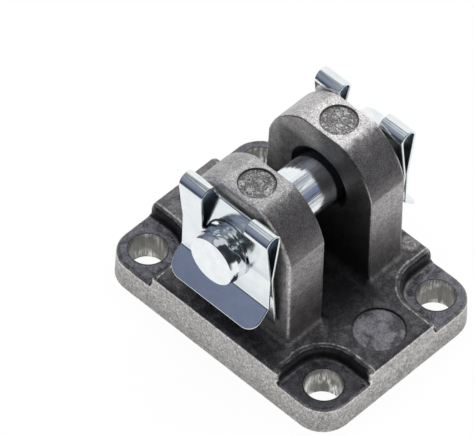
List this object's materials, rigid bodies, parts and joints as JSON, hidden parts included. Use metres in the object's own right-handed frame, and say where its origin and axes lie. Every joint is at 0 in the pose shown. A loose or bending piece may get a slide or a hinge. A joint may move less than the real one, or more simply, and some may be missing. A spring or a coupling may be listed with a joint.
{
  "type": "cylinder rear clevis mount",
  "caption": "Cast clevis bracket with two rounded ears on a flat bolt-down base, a grooved clevis pin through the ears and a folded spring clip on each end.",
  "frame": {"origin": "centre of the bolt pattern on the mounting face, under the middle of the base", "axes": "+X along the longer side of the base, +Y along the pin, +Z out of the mounting face towards the ears"},
  "size_m": [0.0514, 0.0402, 0.037],
  "materials": {
    "casting": "tumbled die casting, dark and mottled, bright at the edges",
    "pin_steel": "bright zinc, turned",
    "clip_steel": "bright rolled spring steel"
  },
  "bodies": {
    "bracket": {"bracket": "casting"},
    "pin": {"pin": "pin_steel"},
    "clip_front": {"clip_front": "clip_steel"},
    "clip_rear": {"clip_rear": "clip_steel"}
  },
  "joints": [
    {"name": "pin_turn", "type": "hinge", "parent": "bracket", "child": "pin", "pos_m": [0, 0, 0.0257], "axis": [0, 1, 0], "continuous": true},
    {"name": "clip_front_turn", "type": "hinge", "parent": "pin", "child": "clip_front", "pos_m": [0, -0.01625, 0.0257], "axis": [0, 1, 0], "continuous": true},
    {"name": "clip_rear_turn", "type": "hinge", "parent": "pin", "child": "clip_rear", "pos_m": [0, 0.01625, 0.0257], "axis": [0, 1, 0], "continuous": true}
  ]
}
